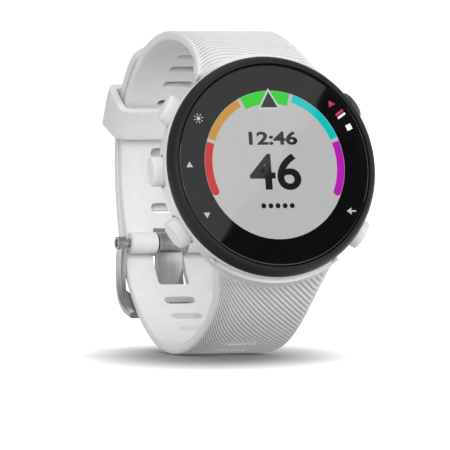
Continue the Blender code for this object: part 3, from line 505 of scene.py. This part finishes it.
# Each groove takes up four rows of the mesh, given as a share of the pitch and a share
# of the depth. The grooves run out into plain silicone by the case, along both edges
# and at the end of the strap, over the distances given here.
groove_pitch = 0.00104
groove_rows = ((0.0, 1.0), (0.20, 0.25), (0.36, 0.0), (0.84, 0.25))
groove_depth = 0.00026
groove_half_run = 0.0095
drift_span = 0.030
drift_decay = 0.0035
plain_tail = 0.015
plain_by_case = (0.0008, 0.0013)
plain_by_edge = (0.0004, 0.0011)
plain_by_end = (0, 0.001)
# Where the strap meets the case, its outer skin is pushed out to a smooth lip.
lip_radius = 0.0205
lip_depth = case_thickness * 0.7
outer_columns = 30
under_columns = 8
edge = 0.0004
corner_cut = 0.29
rim = [(1, -edge * corner_cut, -edge * corner_cut), (1, 0, -edge),
       (1, 0, edge - strap_thickness),
       (1, -edge * corner_cut, edge * corner_cut - strap_thickness)]


def groove_drift(x, half, early, late):
    """How far a groove has drifted along the strap at x, measured from its left edge."""
    run = x + half
    return late * run + early * drift_decay * (1 - math.exp(-run / drift_decay))


def strap_shell(start, end, width, ring, early, late, fade, straighten=0.0):
    """Closed grooved band from one loop angle to another, its rows laid along the grooves.

    Over the distance straighten before the plain tail, the grooves turn square across
    the strap, so that they don't cross each other where it narrows.
    """
    length = abs(end - start) * math.pi / 180 * strap_outer
    way = 1 if end > start else -1
    pitches = math.ceil((length + 2 * drift_span) / groove_pitch)
    rows = pitches * len(groove_rows)
    spaced = [-1 + 2 * step / outer_columns for step in range(outer_columns + 1)]
    across = [(side, -side * edge, 0) for side in spaced]
    under = [(1 - 2 * step / under_columns, (2 * step / under_columns - 1) * edge, -strap_thickness)
             for step in range(under_columns + 1)]
    left_rim = [(-side, -inset, height) for side, inset, height in reversed(rim)]
    section = across + rim + under + left_rim
    count = len(section)
    bm = bmesh.new()
    groove = bm.verts.layers.float.new("groove")
    bmesh.ops.create_grid(bm, x_segments=count, y_segments=rows, size=1)
    for vert in bm.verts:
        column = round((vert.co.x + 1) / 2 * count) % count
        row = round((vert.co.y + 1) / 2 * rows)
        side, inset, height = section[column]
        share, depth = groove_rows[row % len(groove_rows)]
        travelled = (row // len(groove_rows) + share) * groove_pitch - drift_span
        drift = groove_drift(side * groove_half_run, groove_half_run, early, late)
        if straighten:
            drift *= min(max((length - plain_tail - travelled) / straighten, 0.0), 1.0)
        travelled += drift
        travelled = min(max(travelled, 0.0), length)
        degrees = start + way * math.degrees(travelled / strap_outer)
        half = width(degrees)
        x = side * half + inset
        cut = 0.0
        spot = on_loop(ring(degrees) + height, degrees, x)
        out = math.hypot(spot.x, spot.z)
        lip = 0.0
        if height > -edge and spot.y < lip_depth:
            lip = max(lip_radius - out, 0.0)
        if height == 0 and abs(side) < 0.999 and 0 < travelled < length:
            if spot.y < case_thickness:
                depth *= ease(out - case_radius, *plain_by_case)
            cut = depth * fade(degrees) * ease(half - abs(x), *plain_by_edge)
            cut *= ease(length - travelled, *plain_by_end)
        # The groove's depth is kept on the vertex, and the silicone paints shade into the groove floors
        # by it.
        vert[groove] = cut
        vert.co = on_loop(ring(degrees) + height - cut * groove_depth, degrees, x)
        if lip:
            vert.co.x *= 1 + lip / out
            vert.co.z *= 1 + lip / out
    bmesh.ops.remove_doubles(bm, verts=bm.verts, dist=2e-6)
    bmesh.ops.holes_fill(bm, edges=[rim_edge for rim_edge in bm.edges if rim_edge.is_boundary])
    bmesh.ops.recalc_face_normals(bm, faces=bm.faces)
    return bm


def bar_with_round_ends(half_length, radius, steps=6):
    """Outline of a slot lying along X."""
    points = []
    for centre, first in ((half_length - radius, -90), (radius - half_length, 90)):
        for step in range(steps + 1):
            turn = math.radians(first + 180 * step / steps)
            points.append((centre + radius * math.cos(turn), radius * math.sin(turn)))
    return points


def add_block(bm, outline, low, high, place):
    """Adds an outline in metres, extruded between two heights and placed."""
    face = bm.faces.new([bm.verts.new((x, y, low)) for x, y in outline])
    grown = bmesh.ops.extrude_face_region(bm, geom=[face])
    top = [part for part in grown["geom"] if isinstance(part, bmesh.types.BMVert)]
    bmesh.ops.translate(bm, vec=(0, 0, high - low), verts=top)
    bmesh.ops.transform(bm, matrix=place, verts=list(face.verts) + top)


def cut_away(body, tool):
    """Cuts one bmesh out of another and gives the result as a new bmesh.

    Both are triangulated first, because the cut fails on faces that aren't flat.
    """
    made = []
    for name, bm in (("body", body), ("tool", tool)):
        bmesh.ops.recalc_face_normals(bm, faces=bm.faces)
        bmesh.ops.triangulate(bm, faces=bm.faces)
        mesh = bpy.data.meshes.new(name)
        bm.to_mesh(mesh)
        bm.free()
        made.append(bpy.data.objects.new(name, mesh))
        bpy.context.scene.collection.objects.link(made[-1])
    step = made[0].modifiers.new("cut", "BOOLEAN")
    step.operation = "DIFFERENCE"
    step.solver = "EXACT"
    step.object = made[1]
    bpy.context.view_layer.update()
    whole = made[0].evaluated_get(bpy.context.evaluated_depsgraph_get())
    result = bmesh.new()
    result.from_mesh(bpy.data.meshes.new_from_object(whole))
    for used in made:
        bpy.data.objects.remove(used)
    return result


# Sockets of a colour mix node: how much, the two colours and the result.
MIX_SHARE, MIX_FIRST, MIX_SECOND, MIX_RESULT = 0, 6, 7, 2

silicone = surface("white silicone", (0.73, 0.735, 0.74), 0.52, mottle=0.025, grain=4500,
                   relief=0.000004)
nodes, links = silicone.node_tree.nodes, silicone.node_tree.links
# The floors of the grooves are painted darker by their depth: painted shade, where less light reaches
# into them.
groove_shade_mask = nodes.new("ShaderNodeAttribute")
groove_shade_mask.attribute_name = "groove"
painted_groove_shade = nodes.new("ShaderNodeMix")
painted_groove_shade.data_type = "RGBA"
painted_groove_shade.blend_type = "MULTIPLY"
painted_groove_shade.inputs[MIX_SECOND].default_value = (0.52, 0.52, 0.53, 1)
links.new(groove_shade_mask.outputs["Fac"], painted_groove_shade.inputs[MIX_SHARE])
links.new(nodes["tint"].outputs["Color"], painted_groove_shade.inputs[MIX_FIRST])
links.new(painted_groove_shade.outputs[MIX_RESULT], nodes["Principled BSDF"].inputs["Base Color"])

slot_outline = bar_with_round_ends(slot_half_length, slot_half_width)
case_room = [(0, -2.0), (20.05, -2.0), (20.05, 3.3), (19.65, 3.3), (19.65, 8.0), (18.45, 9.2),
             (0, 9.2)]
slot_reach = 0.002
tongue_half_width = 0.00295
tongue_reach = 0.004


def upper_fade(degrees):
    """How deep the buckle half's grooves are, shallower towards the buckle."""
    return 1 - 0.75 * ease(degrees, 10, 70)


def lower_fade(degrees):
    """How deep the hole half's grooves are, shallower towards the tail."""
    return 0.35 + 0.65 * ease(degrees, 95, 150)


def cut_slot(tool, ring, degrees):
    """Adds a slot through the strap to the tool, at an outer radius and a loop angle."""
    add_block(tool, slot_outline, -slot_reach, slot_reach,
              across_loop(ring - strap_thickness / 2, degrees))


tool = turned(case_room, 96)
for step in range(9):
    degrees = 8.3 + step * 7.9 + step ** 2 * 0.23
    cut_slot(tool, upper_ring(degrees), degrees)
add_block(tool, [(-tongue_half_width, -0.0029), (tongue_half_width, -0.0029),
                 (tongue_half_width, tongue_reach), (-tongue_half_width, tongue_reach)],
          -tongue_reach, tongue_reach, across_loop(pin_ring, pin_turn))
upper = cut_away(strap_shell(-56.5, 99.9, upper_width, upper_ring, 2.3, -0.42, upper_fade), tool)
place = Matrix.Translation(on_loop(pin_ring, pin_turn)) @ Matrix.Rotation(math.pi / 2, 4, "Y")
for side in (-1, 1):
    outline = [(0.85, 2.95), (1.75, 2.95), (1.92, 3.10), (1.95, 3.30), (1.95, 7.75), (1.92, 7.95),
               (1.75, 8.10), (0.85, 8.10)]
    roll = bmesh.new()
    verts = [roll.verts.new((radius / 1000, 0, side * x / 1000)) for radius, x in outline]
    edges = [roll.edges.new(pair) for pair in zip(verts, verts[1:] + verts[:1])]
    bmesh.ops.spin(roll, geom=verts + edges, axis=(0, 0, 1), cent=(0, 0, 0),
                   angle=2 * math.pi, steps=40, use_merge=True)
    bmesh.ops.remove_doubles(roll, verts=roll.verts, dist=1e-7)
    bmesh.ops.recalc_face_normals(roll, faces=roll.faces)
    bmesh.ops.transform(roll, matrix=place, verts=roll.verts)
    shape = bpy.data.meshes.new("roll")
    roll.to_mesh(shape)
    roll.free()
    upper.from_mesh(shape)
add_piece("strap_buckle_half", upper, silicone, "case", "white_silicone", "strap_upper", sharp=50)

# The slot that the tongue is in takes the place of two slots.
window_middle = 110.65
window_half = math.radians(6.85) * strap_outer
corner = 0.0005
clipped = corner * 0.3
tool = turned(case_room, 96)
for step in range(18):
    degrees = 32.9 + step * 9.3
    if not 100.7 < degrees < 122.8:
        cut_slot(tool, lower_ring(degrees), degrees)
add_block(tool, [(-slot_half_length, -window_half), (slot_half_length, -window_half),
                 (slot_half_length, window_half - corner),
                 (slot_half_length - clipped, window_half - clipped),
                 (slot_half_length - corner, window_half), (corner - slot_half_length, window_half),
                 (clipped - slot_half_length, window_half - clipped),
                 (-slot_half_length, window_half - corner)], -slot_reach, slot_reach,
          across_loop(strap_outer - strap_thickness / 2, window_middle))
lower = cut_away(strap_shell(236.5, 15, lower_width, lower_ring, 1.9, 0.80, lower_fade, 0.060),
                 tool)
add_piece("strap_hole_half", lower, silicone, "case", "white_silicone", "strap_lower", sharp=50)
refinish(steel, "spring_bar_upper", "spring_bar_lower")

# --- Buckle --------------------------------------------------------------------
# The buckle is a bowed frame of dark brushed steel on a steel pin through the roll of
# the strap. Its flat tongue passes out through a slot and rests on the front bar.
buckle_steel = surface("dark brushed steel", (0.35, 0.35, 0.355), 0.36, 1.0, 0.12, 9000, 0.000005,
                       (1, 0.06, 0.06))
add_piece("buckle_bow", eased("buckle_frame", 0.00018, 3, 30), buckle_steel, "buckle_frame",
          "brushed_steel", "buckle_frame", place=Matrix())
add_piece("buckle_prong", eased("buckle_tongue", 0.00014, 2, 30), buckle_steel, "buckle_tongue",
          "brushed_steel", "buckle_tongue", place=Matrix())
refinish(steel, "buckle_pin")

# --- Keeper --------------------------------------------------------------------
# A smooth loop of the same silicone slides along both halves and holds the tail.
# Its corners are round and its edges are softly eased.
add_piece("keeper_loop", eased("strap_keeper", 0.00030, 3, 50), silicone, "keeper",
          "white_silicone", "strap_keeper", place=Matrix())

# --- Studio --------------------------------------------------------------------
# The watch stands on a white table in even soft light. A bright card up to the right
# reflects across the upper left of the glass, and a black one darkens the rest of it.
# Under the watch the table has a painted shadow: its colour and its own glow are darker there and grow
# white away from it.
floor_level = cad_box[0][2] - 0.0002
sky_strength = 0.50
sky_seen = 1.05


def add_screen(name, bm, material):
    """Makes the bmesh a piece of the studio."""
    mesh = bpy.data.meshes.new(name)
    bm.to_mesh(mesh)
    bm.free()
    mesh.materials.append(material)
    made = bpy.data.objects.new(name, mesh)
    bpy.context.scene.collection.objects.link(made)
    return made


table_white = surface("white table", (0.62, 0.62, 0.62), 0.9, mottle=0.004, grain=300, relief=0)
nodes, links = table_white.node_tree.nodes, table_white.node_tree.links
table_shader = nodes["Principled BSDF"]
table_shader.inputs["Emission Color"].default_value = (1, 1, 1, 1)
# Painted shadow: the table's glow and colour rise from dark under the watch to white away from it, in an
# oval round the watch.
away = nodes.new("ShaderNodeTexCoord")
spread = nodes.new("ShaderNodeMapping")
spread.vector_type = "TEXTURE"
spread.inputs["Location"].default_value = (-0.004, 0.008, floor_level)
spread.inputs["Rotation"].default_value = (0, 0, math.radians(-22))
spread.inputs["Scale"].default_value = (0.036, 0.085, 1)
reach = nodes.new("ShaderNodeVectorMath")
reach.operation = "LENGTH"
painted_shadow_ramp = nodes.new("ShaderNodeMapRange")
painted_shadow_ramp.interpolation_type = "SMOOTHSTEP"
painted_shadow_ramp.inputs["From Min"].default_value = 0.15
painted_shadow_ramp.inputs["From Max"].default_value = 1.15
painted_shadow_ramp.inputs["To Min"].default_value = 0.0
painted_shadow_ramp.inputs["To Max"].default_value = 1.1
links.new(away.outputs["Object"], spread.inputs["Vector"])
links.new(spread.outputs["Vector"], reach.inputs[0])
links.new(reach.outputs["Value"], painted_shadow_ramp.inputs["Value"])
links.new(painted_shadow_ramp.outputs["Result"], table_shader.inputs["Emission Strength"])
painted_shadow_colour = nodes.new("ShaderNodeMix")
painted_shadow_colour.data_type = "RGBA"
painted_shadow_colour.inputs[MIX_FIRST].default_value = (0.30, 0.30, 0.30, 1)
painted_shadow_colour.inputs[MIX_SECOND].default_value = (0.70, 0.70, 0.70, 1)
links.new(painted_shadow_ramp.outputs["Result"], painted_shadow_colour.inputs[MIX_SHARE])
links.new(painted_shadow_colour.outputs[MIX_RESULT], table_shader.inputs["Base Color"])
table_shader.inputs["Specular IOR Level"].default_value = 0.0
table = bmesh.new()
bmesh.ops.create_grid(table, x_segments=8, y_segments=8, size=4,
                      matrix=Matrix.Translation((0, 0, floor_level)))
table_top = add_screen("table", table, table_white)
table_top.visible_diffuse = False

card_way = Vector((0.3832, -0.8601, 0.3373)).normalized()
card_distance = 0.35
card_margin = 0.15
card_height = 0.30
card_edge = [lean @ (Vector((x, 0, z)) / 1000) for x, z in ((14.9, 17.1), (-15.3, -16.5))]
card_side = (card_edge[0] - card_edge[1]).normalized()
card_up = Vector((-1, 0, 0.3)).normalized()
card = bmesh.new()
ends = [card_edge[0] + card_side * card_margin, card_edge[1] - card_side * card_margin]
corners = [end + card_way * card_distance for end in ends]
corners += [corner + card_up * card_height for corner in reversed(corners)]
card.faces.new([card.verts.new(corner) for corner in corners])
glow = bpy.data.materials.new("card glow")
glow.use_nodes = True
glow_shader = glow.node_tree.nodes["Principled BSDF"]
glow_shader.inputs["Base Color"].default_value = (0, 0, 0, 1)
glow_shader.inputs["Emission Color"].default_value = (1, 1, 1, 1)
glow_shader.inputs["Emission Strength"].default_value = 0.95
light_card = add_screen("light_card", card, glow)

flag = bmesh.new()
aim = card_way.to_track_quat("Z", "Y").to_matrix().to_4x4()
bmesh.ops.create_grid(flag, x_segments=1, y_segments=1, size=0.22,
                      matrix=Matrix.Translation(card_way * 0.40) @ aim)
black = bpy.data.materials.new("flag black")
black.use_nodes = True
black_shader = black.node_tree.nodes["Principled BSDF"]
black_shader.inputs["Base Color"].default_value = (0, 0, 0, 1)
black_shader.inputs["Specular IOR Level"].default_value = 0
dark_flag = add_screen("dark_flag", flag, black)
for screen in (light_card, dark_flag):
    screen.visible_camera = False
    screen.visible_shadow = False
    screen.visible_diffuse = False

world = bpy.data.worlds.new("studio")
world.use_nodes = True
sky = world.node_tree.nodes["Background"]
sky.inputs["Color"].default_value = (1, 1, 1, 1)
sky.inputs["Strength"].default_value = sky_strength
path = world.node_tree.nodes.new("ShaderNodeLightPath")
seen = world.node_tree.nodes.new("ShaderNodeMapRange")
seen.inputs["To Min"].default_value = sky_strength
seen.inputs["To Max"].default_value = sky_seen
world.node_tree.links.new(path.outputs["Is Camera Ray"], seen.inputs["Value"])
world.node_tree.links.new(seen.outputs["Result"], sky.inputs["Strength"])
bpy.context.scene.world = world

for name, place, size, power in (
        ("overhead", (-0.15, 0.05, 0.95), 0.7, 2.2),
        ("front_left", (-0.60, -1.00, 0.35), 0.6, 6.4),
        ("front_right", (0.75, -0.75, 0.35), 0.5, 5.6)):
    light = bpy.data.lights.new(name, "AREA")
    light.size = size
    light.energy = power
    lamp_object = bpy.data.objects.new(name, light)
    aim = (Vector((0, 0.01, 0)) - Vector(place)).to_track_quat("-Z", "Y")
    lamp_object.matrix_world = Matrix.Translation(place) @ aim.to_matrix().to_4x4()
    bpy.context.scene.collection.objects.link(lamp_object)

camera_data = bpy.data.cameras.new("camera")
camera_data.lens = 488
camera_data.sensor_width = 36
camera_data.clip_start = 0.01
camera = bpy.data.objects.new("camera", camera_data)
axes = Matrix(((0.9267, 0.0085, -0.3755), (-0.3756, 0.0210, -0.9265), (0.0, 0.99974, 0.0227)))
camera.matrix_world = Matrix.Translation((-0.4100, -0.9995, 0.0159)) @ axes.to_4x4()
bpy.context.scene.collection.objects.link(camera)
bpy.context.scene.camera = camera
bpy.context.scene.view_settings.view_transform = "Standard"
